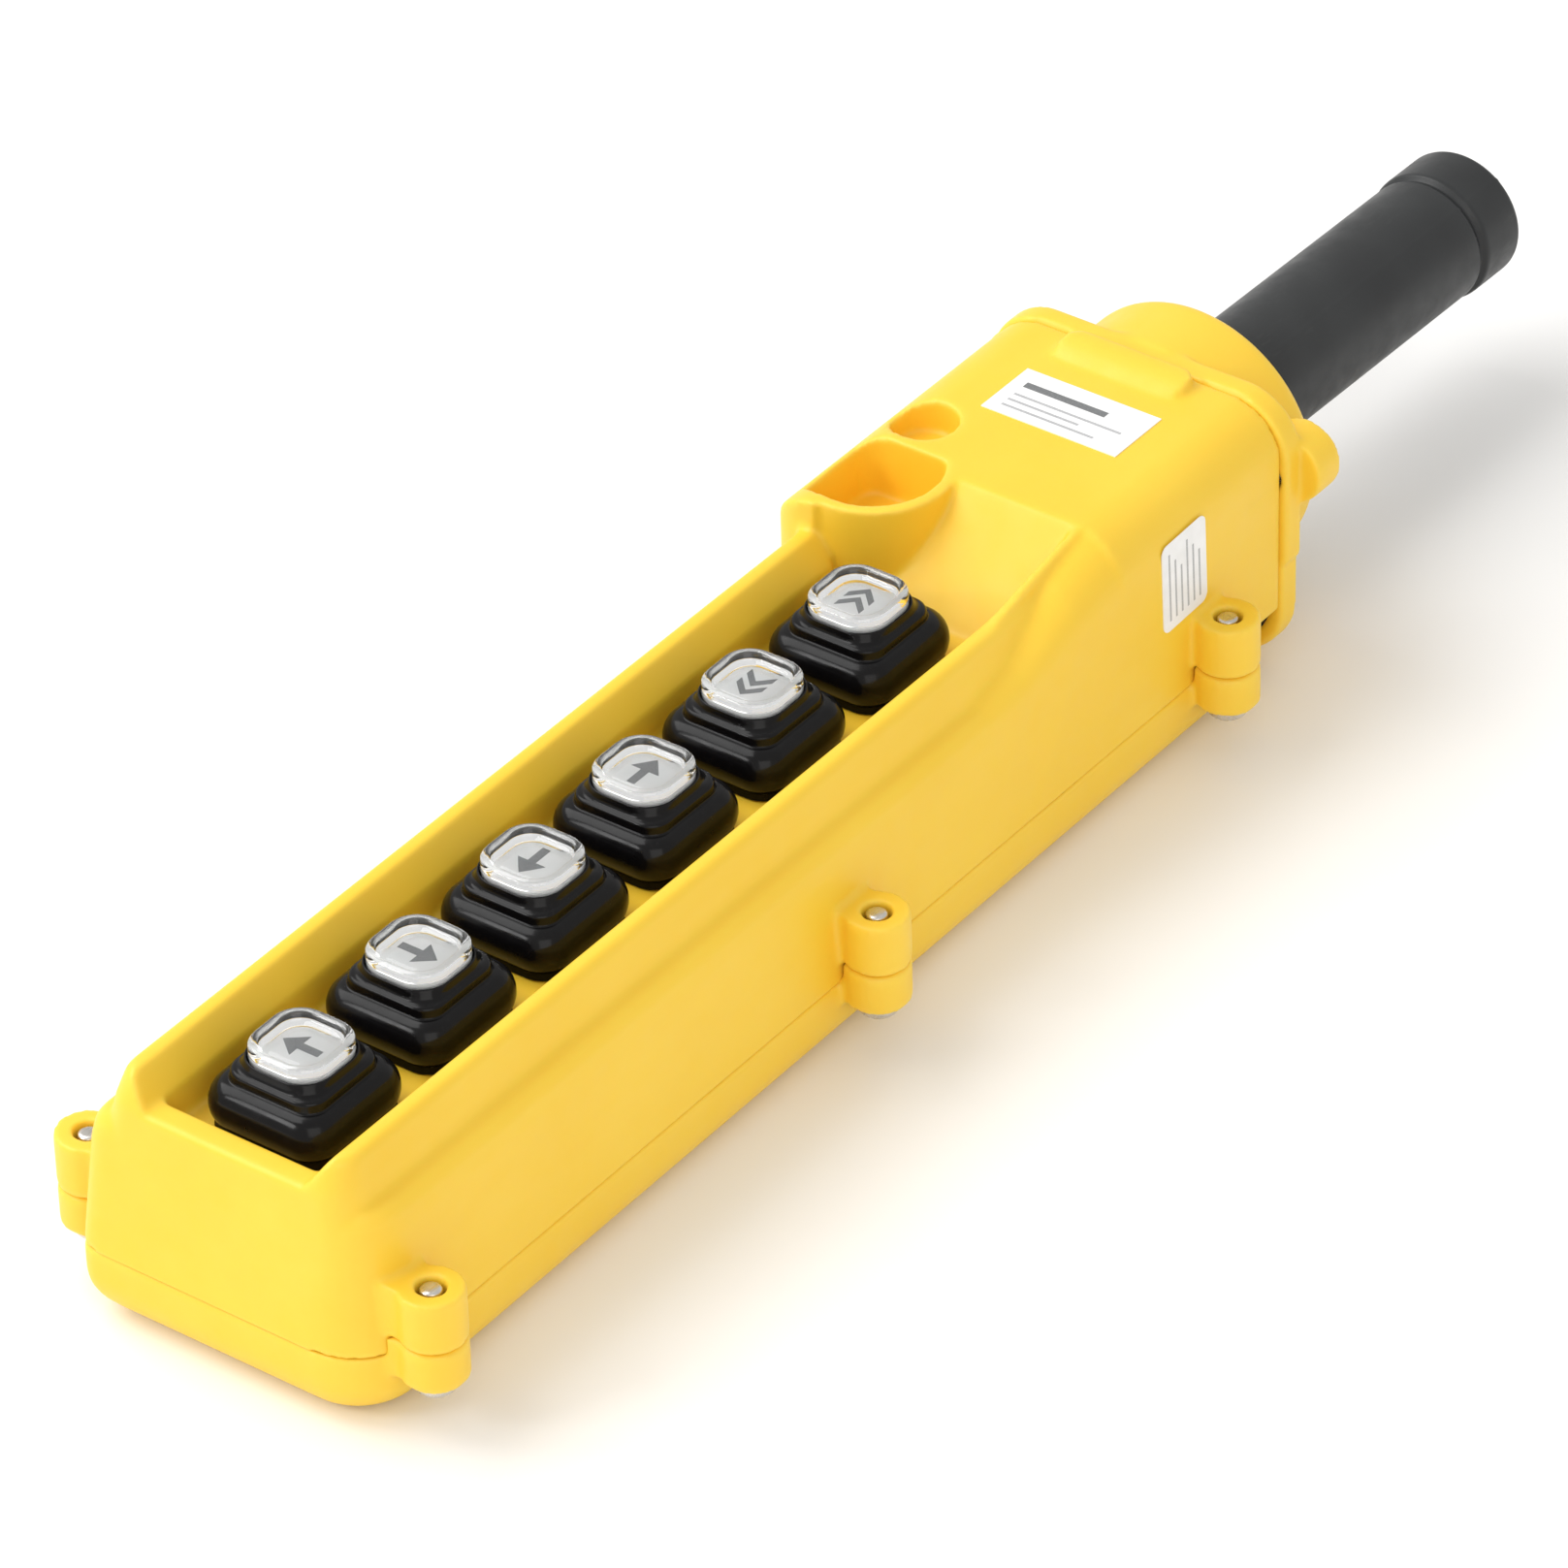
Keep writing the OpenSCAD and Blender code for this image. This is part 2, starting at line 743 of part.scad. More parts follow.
module terminal_block() {
    color([0.9, 0.9, 0.86]) along(0) difference() {
        translate([0, terminal_d, rail_z]) rounded_block(28, 12, 11, 1);
        for (i = [0 : terminal_ways - 1]) {
            translate([(i - 1.5) * terminal_step, terminal_d, rail_z]) {
                translate([0, 0, 6]) cylinder(r = 2.2, h = 10);
                translate([0, 0, 3.4]) rotate([90, 0, 0]) cylinder(r = 1.4, h = 20, center = true);
            }
        }
    }
}

module terminal_screws() {
    color([0.75, 0.75, 0.74]) along(0) for (i = [0 : terminal_ways - 1]) {
        translate([(i - 1.5) * terminal_step, terminal_d, rail_z + 6.2]) difference() {
            cylinder(r = 2, h = 3.2);
            translate([0, 0, 3.2]) cube([5, 0.6, 1.6], center = true);
        }
    }
}

module ground_screw() {
    color([0.25, 0.6, 0.3]) along(0) {
        translate([0, terminal_d + 15, wall + 2.6]) rotate([180, 0, 0]) screw(m3_r, m3_head_r, m3_head_h, 1.1);
    }
}

module front_label() {
    color([0.96, 0.96, 0.95]) along(0) translate([0.3, 251.7, head_top]) {
        linear_extrude(0.2) square([30, 15], center = true);
    }
}

module side_label() {
    color([0.96, 0.96, 0.95]) along(0) translate([case_x - 0.2, 241.6, 41.2]) rotate([90, 0, 90]) {
        rotate([0, 0, 2.5]) rounded_block(14, 19.4, 0.2, 1.8);
    }
}

// Rubber boot: flange below the floor, neck, bulged lower tier and a smaller upper tier
module boot(i) {
    color([0.05, 0.05, 0.055]) along(first_button + pitch * (i - 1)) difference() {
        union() {
            translate([0, 0, flange_z + 0.05]) rounded_block(flange_w - 3, flange_w - 2, flange_t - 0.1, 4);
            translate([0, 0, flange_z + 0.05]) rounded_block(neck_w, neck_w, 6, 4);
            translate([0, 0, floor_z + 0.4]) rounded_block(boot_w - 1.2, boot_w - 1.2, 1.4, 5.2);
            translate([0, 0, floor_z + 1.6]) rounded_block(boot_w, boot_w, tier1_z - floor_z - 3.4, 5.8);
            translate([0, 0, floor_z + 4]) rounded_block(boot_w - 1.8, boot_w - 1.8, tier1_z - floor_z - 4, 5);
            translate([0, 0, tier1_z - 1]) rounded_block(tier2_w, tier2_w, boot_top - tier1_z + 1, 4.4);
        }
        translate([0, 0, flange_z - 1]) cylinder(r = 8, h = boot_top - 2 - flange_z + 1);
        translate([0, 0, flange_z]) cylinder(r = stem_r + 0.3, h = big);
    }
}

// Clear cap with a raised rim, hollow below for the legend
module cap(i) {
    color([0.9, 0.93, 0.95, 0.4]) along(first_button + pitch * (i - 1)) difference() {
        translate([0, 0, cap_z]) rounded_block(cap_w, cap_w, cap_top - cap_z, 4.6);
        translate([0, 0, cap_z - 1]) rounded_block(cap_w - 2.4, cap_w - 2.4, 2.5, 3.6);
        translate([0, 0, cap_top - 1.3]) rounded_block(cap_w - 3, cap_w - 3, 5, 3.3);
    }
}

module legend(i) {
    color([0.97, 0.97, 0.96]) along(first_button + pitch * (i - 1)) translate([0, 0, cap_z + 0.7]) {
        rounded_block(cap_w - 2.8, cap_w - 2.8, 0.7, 3.4);
    }
}

// Plunger: stem in the contact block, spring seat and the plate under the legend
module plunger(i) {
    color([0.93, 0.93, 0.9]) along(first_button + pitch * (i - 1)) {
        translate([0, 0, 18]) cylinder(r = stem_r, h = cap_z - 18);
        translate([0, 0, seat_z]) cylinder(r = 6.4, h = 1.4);
        translate([0, 0, cap_z - 0.6]) rounded_block(cap_w - 3.4, cap_w - 3.4, 1.2, 3);
    }
}

// Return spring: a wire swept along a helix
module spring(i) {
    steps = 14;
    sides = 6;
    rings = round(spring_turns * steps);
    z0 = block_top + spring_wire + 0.1;
    rise = seat_z - block_top - 2 * spring_wire - 0.2;
    points = [
        for (k = [0 : rings], s = [0 : sides - 1])
            let (a = 360 * k / steps, t = 360 * s / sides, r = spring_r + spring_wire * cos(t))
            [r * cos(a), r * sin(a), z0 + rise * k / rings + spring_wire * sin(t)]
    ];
    skin = [
        for (k = [0 : rings - 1], s = [0 : sides - 1])
            let (n = (s + 1) % sides)
            [k * sides + s, (k + 1) * sides + s, (k + 1) * sides + n, k * sides + n]
    ];
    ends = [
        [for (s = [0 : sides - 1]) s],
        [for (s = [sides - 1 : -1 : 0]) rings * sides + s]
    ];
    color([0.7, 0.7, 0.72]) along(first_button + pitch * (i - 1)) {
        polyhedron(points, concat(skin, ends), convexity = 8);
    }
}

// Contact block: guide for the plunger and a hollow for its lower end, with side terminals
module contact_block(i) {
    color([0.12, 0.12, 0.13]) along(first_button + pitch * (i - 1)) difference() {
        union() {
            translate([0, 0, block_z]) rounded_block(block_w, block_w + 2, block_top - block_z - 8, 1.2);
            translate([0, 0, block_z]) rounded_block(block_w - 8, block_w - 4, block_top - block_z, 1.5);
        }
        translate([0, 0, 12]) cylinder(r = guide_r, h = big);
        for (side = [-1, 1], y = [-7, 7]) {
            translate([side * (block_w / 2 - 2.5), y, 18]) cylinder(r = 1.7, h = 20);
        }
    }
}

front_cover();
rear_casing();
case_gasket();
case_screws();
end_bell();
bell_gasket();
bell_screws();
grip_sleeve();
sleeve_ring();
ring_screws();
clamp_saddle();
clamp_strap();
clamp_screws();
boot_plate();
boot_plate_screws();
chassis_rail();
rail_screws();
terminal_block();
terminal_screws();
ground_screw();
front_label();
side_label();
boot(1);  // boot_1
boot(2);  // boot_2
boot(3);  // boot_3
boot(4);  // boot_4
boot(5);  // boot_5
boot(6);  // boot_6
cap(1);  // cap_1
cap(2);  // cap_2
cap(3);  // cap_3
cap(4);  // cap_4
cap(5);  // cap_5
cap(6);  // cap_6
legend(1);  // legend_1
legend(2);  // legend_2
legend(3);  // legend_3
legend(4);  // legend_4
legend(5);  // legend_5
legend(6);  // legend_6
plunger(1);  // plunger_1
plunger(2);  // plunger_2
plunger(3);  // plunger_3
plunger(4);  // plunger_4
plunger(5);  // plunger_5
plunger(6);  // plunger_6
spring(1);  // spring_1
spring(2);  // spring_2
spring(3);  // spring_3
spring(4);  // spring_4
spring(5);  // spring_5
spring(6);  // spring_6
contact_block(1);  // contact_block_1
contact_block(2);  // contact_block_2
contact_block(3);  // contact_block_3
contact_block(4);  // contact_block_4
contact_block(5);  // contact_block_5
contact_block(6);  // contact_block_6
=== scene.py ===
"""Looks of the pendant control station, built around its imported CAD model. Units are metres."""

import math
import random

import bmesh
import bpy
from mathutils import Matrix, Vector

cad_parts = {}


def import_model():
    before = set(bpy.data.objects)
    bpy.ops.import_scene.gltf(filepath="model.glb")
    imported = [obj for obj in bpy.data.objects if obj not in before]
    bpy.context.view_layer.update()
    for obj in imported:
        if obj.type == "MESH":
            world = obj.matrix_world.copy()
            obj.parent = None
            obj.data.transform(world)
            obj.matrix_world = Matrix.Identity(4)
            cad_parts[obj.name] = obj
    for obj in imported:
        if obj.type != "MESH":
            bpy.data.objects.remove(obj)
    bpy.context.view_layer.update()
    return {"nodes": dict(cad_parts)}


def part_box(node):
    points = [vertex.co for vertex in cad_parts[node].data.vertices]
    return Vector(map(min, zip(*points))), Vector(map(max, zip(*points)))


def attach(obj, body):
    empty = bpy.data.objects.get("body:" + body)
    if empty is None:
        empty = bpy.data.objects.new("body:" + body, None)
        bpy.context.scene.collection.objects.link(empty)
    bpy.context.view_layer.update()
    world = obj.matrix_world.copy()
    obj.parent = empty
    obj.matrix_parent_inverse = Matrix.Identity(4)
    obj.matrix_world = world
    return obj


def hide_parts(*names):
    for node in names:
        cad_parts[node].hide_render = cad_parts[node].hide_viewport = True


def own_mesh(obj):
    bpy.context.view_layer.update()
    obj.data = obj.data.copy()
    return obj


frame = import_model()

MM = 0.001
HOUSING = "housing"
BUTTONS = range(1, 7)
rng = random.Random(7)

# ---------------------------------------------------------------- places taken from the frame

SLEEVE_LOW, SLEEVE_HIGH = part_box("grip_sleeve")
SLEEVE_Z = (SLEEVE_LOW[2] + SLEEVE_HIGH[2]) / 2
CLOSED_END_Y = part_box("front_cover")[0][1]


def along(distance_mm):
    """Y of a point that lies this many millimetres from the closed end."""
    return CLOSED_END_Y + distance_mm * MM


def node_centre(node):
    low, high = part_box(node)
    return Vector([(a + b) / 2 for a, b in zip(low, high)])


# ---------------------------------------------------------------- node helpers for materials


class Shader:
    """A material being built: principled shader plus a few helpers that add and link nodes."""

    def __init__(self, name):
        self.material = bpy.data.materials.new(name)
        self.material.use_nodes = True
        self.tree = self.material.node_tree
        self.shader = self.tree.nodes["Principled BSDF"]
        self.coords = self.add("ShaderNodeTexCoord").outputs["Object"]

    def add(self, kind, **values):
        node = self.tree.nodes.new(kind)
        for key, value in values.items():
            setattr(node, key, value)
        return node

    def link(self, source, target):
        self.tree.links.new(source, target)

    def set(self, **values):
        for key, value in values.items():
            self.shader.inputs[key.replace("_", " ")].default_value = value
        return self

    def stretched(self, scale):
        mapping = self.add("ShaderNodeMapping")
        mapping.inputs["Scale"].default_value = scale
        self.link(self.coords, mapping.inputs["Vector"])
        return mapping.outputs["Vector"]

    def noise(self, size_mm, detail=3.0, roughness=0.5, stretch=None):
        node = self.add("ShaderNodeTexNoise")
        node.inputs["Scale"].default_value = 1000.0 / size_mm
        node.inputs["Detail"].default_value = detail
        node.inputs["Roughness"].default_value = roughness
        self.link(self.stretched(stretch) if stretch else self.coords, node.inputs["Vector"])
        return node.outputs["Fac"]

    def spread(self, value, low_in, high_in, low, high):
        node = self.add("ShaderNodeMapRange")
        node.inputs["From Min"].default_value = low_in
        node.inputs["From Max"].default_value = high_in
        node.inputs["To Min"].default_value = low
        node.inputs["To Max"].default_value = high
        self.link(value, node.inputs["Value"])
        return node.outputs["Result"]

    def mix(self, factor, colour_a, colour_b):
        node = self.add("ShaderNodeMix", data_type="RGBA")
        for index, colour in ((6, colour_a), (7, colour_b)):
            if isinstance(colour, tuple):
                node.inputs[index].default_value = colour + (1.0,)
            else:
                self.link(colour, node.inputs[index])
        self.link(factor, node.inputs[0])
        return node.outputs[2]

    def colour(self, source):
        self.link(source, self.shader.inputs["Base Color"])
        return self

    def roughness(self, source):
        self.link(source, self.shader.inputs["Roughness"])
        return self

    def edges(self):
        """1 on convex edges, 0 on flat and hollow places."""
        pointiness = self.add("ShaderNodeNewGeometry").outputs["Pointiness"]
        return self.spread(pointiness, 0.5, 0.56, 0.0, 1.0)

    def bump(self, *layers):
        """Each layer is (height source, strength, depth in mm)."""
        previous = None
        for height, strength, depth_mm in layers:
            node = self.add("ShaderNodeBump")
            node.inputs["Strength"].default_value = strength
            node.inputs["Distance"].default_value = depth_mm * MM
            self.link(height, node.inputs["Height"])
            if previous is not None:
                self.link(previous, node.inputs["Normal"])
            previous = node.outputs["Normal"]
        self.link(previous, self.shader.inputs["Normal"])
        return self


def moulded_yellow():
    s = Shader("yellow_moulded_plastic")
    s.set(Specular_IOR_Level=0.45, Coat_Weight=0.06, Coat_Roughness=0.35)
    s.set(Subsurface_Weight=0.08, Subsurface_Scale=0.002)
    broad = s.spread(s.noise(42, 3), 0.3, 0.7, 0.0, 1.0)
    tint = s.mix(broad, (0.93, 0.59, 0.033), (0.955, 0.63, 0.048))
    flow = s.spread(s.noise(7, 4, stretch=(1.0, 0.25, 1.0)), 0.35, 0.75, 0.0, 0.3)
    tint = s.mix(flow, tint, (0.91, 0.565, 0.028))
    s.colour(s.mix(s.spread(s.edges(), 0, 1, 0.0, 0.3), tint, (0.98, 0.74, 0.12)))
    s.roughness(s.spread(s.noise(5, 5), 0.3, 0.7, 0.4, 0.52))
    s.bump((s.noise(0.35, 4, 0.65), 0.28, 0.05), (s.noise(2.4, 2), 0.12, 0.09))
    return s.material


def boot_rubber():
    s = Shader("black_boot_rubber")
    s.set(Specular_IOR_Level=0.16, Coat_Weight=0.1, Coat_Roughness=0.07)
    dust = s.spread(s.noise(1.1, 6, 0.7), 0.56, 0.8, 0.0, 0.5)
    s.colour(s.mix(dust, (0.0035, 0.0032, 0.0036), (0.016, 0.015, 0.016)))
    s.roughness(s.spread(s.noise(3.2, 5), 0.3, 0.75, 0.14, 0.3))
    s.bump((s.noise(1.9, 3), 0.12, 0.08), (s.noise(0.25, 2), 0.05, 0.02))
    return s.material


def sleeve_rubber():
    s = Shader("grey_sleeve_rubber")
    s.set(Specular_IOR_Level=0.42)
    base = s.mix(s.spread(s.noise(16, 4), 0.3, 0.7, 0, 1), (0.016, 0.017, 0.018), (0.026, 0.028, 0.029))
    streaks = s.spread(s.noise(1.6, 6, 0.7, stretch=(1.0, 0.2, 1.0)), 0.56, 0.78, 0.0, 0.42)
    patch = s.spread(s.noise(22, 2), 0.48, 0.66, 0.0, 1.0)
    both = s.add("ShaderNodeMath", operation="MULTIPLY")
    s.link(streaks, both.inputs[0])
    s.link(patch, both.inputs[1])
    s.colour(s.mix(both.outputs[0], base, (0.085, 0.09, 0.086)))
    s.roughness(s.spread(s.noise(4, 5), 0.3, 0.7, 0.36, 0.5))
    s.bump((s.noise(0.3, 4, 0.7), 0.3, 0.05), (s.noise(3.0, 3), 0.12, 0.1))
    return s.material


def plated(name, dark, light, rough=(0.2, 0.38), stretch=(1.0, 0.12, 1.0)):
    s = Shader(name)
    s.set(Metallic=1.0)
    s.colour(s.mix(s.spread(s.noise(2.5, 5), 0.3, 0.7, 0, 1), dark, light))
    s.roughness(s.spread(s.noise(0.5, 3, stretch=stretch), 0.3, 0.7, *rough))
    s.bump((s.noise(0.4, 3, stretch=stretch), 0.1, 0.02))
    return s.material


def plain_plastic(name, dark, light, rough=(0.4, 0.55)):
    s = Shader(name)
    s.colour(s.mix(s.spread(s.noise(6, 4), 0.3, 0.7, 0, 1), dark, light))
    s.roughness(s.spread(s.noise(1.5, 4), 0.3, 0.7, *rough))
    s.bump((s.noise(0.3, 3, 0.6), 0.18, 0.03))
    return s.material


def label_film():
    s = Shader("label_film")
    s.set(Specular_IOR_Level=0.4, Coat_Weight=0.15, Coat_Roughness=0.25)
    s.colour(s.mix(s.spread(s.noise(4, 4), 0.3, 0.7, 0, 1), (0.86, 0.86, 0.85), (0.93, 0.93, 0.925)))
    s.roughness(s.spread(s.noise(2.2, 4), 0.3, 0.7, 0.3, 0.42))
    s.bump((s.noise(5, 2), 0.1, 0.04))
    return s.material


def printed_ink(name, dark, light):
    s = Shader(name)
    s.colour(s.mix(s.spread(s.noise(0.35, 5, 0.7), 0.42, 0.7, 0, 1), dark, light))
    s.roughness(s.spread(s.noise(1.0, 3), 0.3, 0.7, 0.38, 0.55))
    s.bump((s.noise(0.2, 2), 0.1, 0.01))
    return s.material


def clear_acrylic():
    s = Shader("clear_acrylic")
    s.set(Transmission_Weight=1.0, IOR=1.49, Specular_IOR_Level=0.55)
    s.colour(s.mix(s.spread(s.noise(5, 2), 0.3, 0.7, 0, 1), (0.97, 0.985, 0.985), (1.0, 1.0, 1.0)))
    s.roughness(s.spread(s.noise(1.8, 5), 0.35, 0.8, 0.015, 0.07))
    s.bump((s.noise(3.5, 2), 0.05, 0.03))
    return s.material


YELLOW = moulded_yellow()
BOOT = boot_rubber()
SLEEVE = sleeve_rubber()
SCREW = plated("nickel_screw", (0.56, 0.53, 0.48), (0.74, 0.71, 0.67))
SPRING = plated("spring_wire", (0.5, 0.5, 0.5), (0.7, 0.7, 0.7))
PLATE = plated("plated_sheet", (0.55, 0.56, 0.56), (0.68, 0.68, 0.66), (0.28, 0.45), (0.2, 1.0, 1.0))
GREEN = plated("green_ground_screw", (0.05, 0.26, 0.08), (0.08, 0.34, 0.12))
CREAM = plain_plastic("cream_plastic", (0.7, 0.68, 0.6), (0.78, 0.76, 0.68))
BLACK = plain_plastic("black_phenolic", (0.012, 0.012, 0.013), (0.03, 0.03, 0.032))
SEAL = plain_plastic("seal_rubber", (0.012, 0.012, 0.012), (0.022, 0.022, 0.022), (0.6, 0.75))
LABEL = label_film()
INSERT = plain_plastic("insert_white", (0.86, 0.86, 0.85), (0.92, 0.92, 0.915), (0.3, 0.42))
INK = printed_ink("grey_ink", (0.16, 0.165, 0.17), (0.22, 0.225, 0.23))
PALE_INK = printed_ink("pale_ink", (0.42, 0.42, 0.43), (0.55, 0.55, 0.56))
CLEAR = clear_acrylic()

# ---------------------------------------------------------------- mesh helpers


def finish_piece(obj, material, body=HOUSING, nodes=()):
    """Gives a new piece its material and body, and hides the CAD nodes that it stands for."""
    obj.data.materials.clear()
    obj.data.materials.append(material)
    obj.data.polygons.foreach_set("use_smooth", [True] * len(obj.data.polygons))
    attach(obj, body)
    if nodes:
        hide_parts(*nodes)
    return obj


def object_from(name, bm):
    bmesh.ops.recalc_face_normals(bm, faces=bm.faces)
    mesh = bpy.data.meshes.new(name)
    bm.to_mesh(mesh)
    bm.free()
    obj = bpy.data.objects.new(name, mesh)
    bpy.context.scene.collection.objects.link(obj)
    return obj


def apply_modifiers(obj):
    graph = bpy.context.evaluated_depsgraph_get()
    graph.update()
    mesh = bpy.data.meshes.new_from_object(obj.evaluated_get(graph))
    obj.modifiers.clear()
    old = obj.data
    obj.data = mesh
    bpy.data.meshes.remove(old)


def softened(node, name, voxel_mm, passes, keep_share):
    """A copy of a CAD moulding with its edges rounded the way a moulding's are."""
    source = frame["nodes"][node]
    obj = bpy.data.objects.new(name, source.data.copy())
    bpy.context.scene.collection.objects.link(obj)
    remesh = obj.modifiers.new("remesh", "REMESH")
    remesh.mode = "VOXEL"
    remesh.voxel_size = voxel_mm * MM
    smooth = obj.modifiers.new("smooth", "SMOOTH")
    smooth.factor = 0.5
    smooth.iterations = passes
    decimate = obj.modifiers.new("decimate", "DECIMATE")
    decimate.ratio = keep_share
    apply_modifiers(obj)
    return obj


def weighted(obj):
    normals = obj.modifiers.new("weighted_normals", "WEIGHTED_NORMAL")
    normals.weight = 80
    normals.keep_sharp = False
    return obj


def ring_points(radius, count):
    """Points round a circle, in order."""
    angles = [2 * math.pi * k / count for k in range(count)]
    return [Vector((radius * math.cos(a), radius * math.sin(a), 0)) for a in angles]


def rounded_square(half, corner):
    """Points round a square with round corners, in order."""
    per_corner, per_side = 8, 4
    points = []
    flat = half - corner
    for quarter in range(4):
        turn = Matrix.Rotation(quarter * math.pi / 2, 3, "Z")
        for k in range(per_corner + 1):
            a = math.pi / 2 * k / per_corner
            points.append(turn @ Vector((flat + corner * math.cos(a), flat + corner * math.sin(a), 0)))
        for k in range(1, per_side):
            points.append(turn @ Vector((flat - 2 * flat * k / per_side, half, 0)))
    return points


def square_rings(centre, sizes):
    """Rings of rounded squares about a centre, from (half width, corner radius, height) in millimetres."""
    rings = []
    for half, corner, height in sizes:
        points = rounded_square(half, corner)
        rings.append([Vector((centre.x + p.x * MM, centre.y + p.y * MM, height * MM)) for p in points])
    return rings


def tube(bm, rings, closed=False):
    """Joins rings of points with quads. A closed tube also joins the last ring to the first."""
    rows = [[bm.verts.new(p) for p in ring] for ring in rings]
    count = len(rows[0])
    for below, above in zip(rows, rows[1:] + rows[:1] if closed else rows[1:]):
        for k in range(count):
            n = (k + 1) % count
            bm.faces.new((below[k], below[n], above[n], above[k]))
    return rows


def skin(bm, rings):
    """A tube with both of its ends filled."""
    rows = tube(bm, rings)
    bm.faces.new(list(reversed(rows[0])))
    bm.faces.new(rows[-1])


def arc(centre_out, centre_up, radius, start_deg, end_deg, steps):
    """Points of a profile arc as (out, up) pairs."""
    pairs = []
    for k in range(steps + 1):
        a = math.radians(start_deg + (end_deg - start_deg) * k / steps)
        pairs.append((centre_out + radius * math.cos(a), centre_up + radius * math.sin(a)))
    return pairs


# ---------------------------------------------------------------- housing mouldings

shells = (
    ("front_cover", "cover_moulding", 0.6, 9, 0.22),
    ("rear_casing", "casing_moulding", 0.7, 8, 0.2),
    ("end_bell", "bell_moulding", 0.5, 10, 0.25),
)
for node, name, voxel_mm, passes, keep_share in shells:
    moulding = softened(node, name, voxel_mm, passes, keep_share)
    finish_piece(moulding, YELLOW, nodes=[node])
    weighted(moulding)

# ---------------------------------------------------------------- screws

HEAD_R, HEAD_H, SHANK_R, THREAD_PITCH = 3.9, 3.1, 2.0, 0.7
HEAD_EDGE_R = 1.7
THREAD_DEPTH = 0.32
RECESS_L, RECESS_W, RECESS_H = 4.4, 0.95, 1.5
BEVEL_WIDTH = 0.08 * MM


def screw_rings(length, threaded_from):
    """Rings of an M4 pan-head screw along +Z: head below zero, thread, domed tip. Millimetres."""
    profile = [(0.9, -HEAD_H + 0.02)]
    profile += arc(HEAD_R - HEAD_EDGE_R, -HEAD_H + HEAD_EDGE_R, HEAD_EDGE_R, -88, 0, 8)
    profile += [(HEAD_R, -0.35), (HEAD_R - 0.2, -0.02), (SHANK_R + 0.05, 0.0), (SHANK_R - 0.1, 0.3)]
    z = threaded_from
    while z < length - 1.4:
        profile += [(SHANK_R - THREAD_DEPTH, z), (SHANK_R, z + 0.28 * THREAD_PITCH)]
        profile += [(SHANK_R - 0.02, z + 0.42 * THREAD_PITCH)]
        z += THREAD_PITCH
    profile += [(SHANK_R, length - 1.1), (SHANK_R, length - 0.5), (SHANK_R - 0.12, length - 0.28)]
    profile += [(SHANK_R - 0.4, length - 0.1), (SHANK_R - 0.8, length - 0.03), (0.3, length)]
    return [[Vector((p.x, p.y, up)) for p in ring_points(out, 40)] for out, up in profile]


def recess_cutter(bm, place):
    """Adds the two crossed blocks that cut the recess into a screw's head."""
    for quarter in range(2):
        turn = Matrix.Rotation(quarter * math.pi / 2, 4, "Z")
        block = bmesh.ops.create_cube(bm, size=1.0)
        shape = Matrix.Diagonal((RECESS_L, RECESS_W, RECESS_H, 1.0))
        at_head = Matrix.Translation((0, 0, -HEAD_H))
        bmesh.ops.transform(bm, matrix=place @ turn @ at_head @ shape, verts=block["verts"])


def screws(name, node, places, length, threaded_from):
    """One piece with a screw at each place, each turned at random about its own axis."""
    bm = bmesh.new()
    cutter = bmesh.new()
    for place in places:
        one = bmesh.new()
        skin(one, screw_rings(length, threaded_from))
        spun = place @ Matrix.Scale(MM, 4) @ Matrix.Rotation(rng.uniform(0, math.pi / 2), 4, "Z")
        bmesh.ops.transform(one, matrix=spun, verts=one.verts)
        mesh = bpy.data.meshes.new("part")
        one.to_mesh(mesh)
        one.free()
        bm.from_mesh(mesh)
        bpy.data.meshes.remove(mesh)
        recess_cutter(cutter, spun)
    body = object_from(name, bm)
    tool = object_from(name + "_tool", cutter)
    recess = body.modifiers.new("recess", "BOOLEAN")
    recess.operation = "DIFFERENCE"
    recess.solver = "EXACT"
    recess.use_self = True
    recess.object = tool
    apply_modifiers(body)
    bpy.data.objects.remove(tool, do_unlink=True)
    finish_piece(body, SCREW, nodes=[node])
    bevel = body.modifiers.new("bevel", "BEVEL")
    bevel.width = BEVEL_WIDTH
    bevel.segments = 2
    bevel.limit_method = "ANGLE"
    bevel.angle_limit = math.radians(50)
    return weighted(body)


CASE_SCREW_L, CASE_THREAD_START = 18.6, 4.0
BELL_SCREW_L, BELL_THREAD_START = 21.4, 5.0

case_low, case_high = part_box("case_screws")
ear_x = case_high[0] - HEAD_R * MM
ear_bottom = case_low[2] + HEAD_H * MM
MIDDLE_EAR = 138.7
ear_rows = (case_low[1] + HEAD_R * MM, along(MIDDLE_EAR), case_high[1] - HEAD_R * MM)
ear_places = [Matrix.Translation((side * ear_x, y, ear_bottom)) for side in (-1, 1) for y in ear_rows]
screws("case_screw_set", "case_screws", ear_places, CASE_SCREW_L, CASE_THREAD_START)

bell_low, bell_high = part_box("bell_screws")
bell_screw_x = bell_high[0] - HEAD_R * MM
bell_screw_z = (bell_low[2] + bell_high[2]) / 2
lug_end = bell_high[1] - HEAD_H * MM
quarter_turn = Matrix.Rotation(math.pi / 2, 4, "X")
bell_places = [
    Matrix.Translation((side * bell_screw_x, lug_end, bell_screw_z)) @ quarter_turn for side in (-1, 1)
]
screws("bell_screw_set", "bell_screws", bell_places, BELL_SCREW_L, BELL_THREAD_START)

# ---------------------------------------------------------------- rubber sleeve

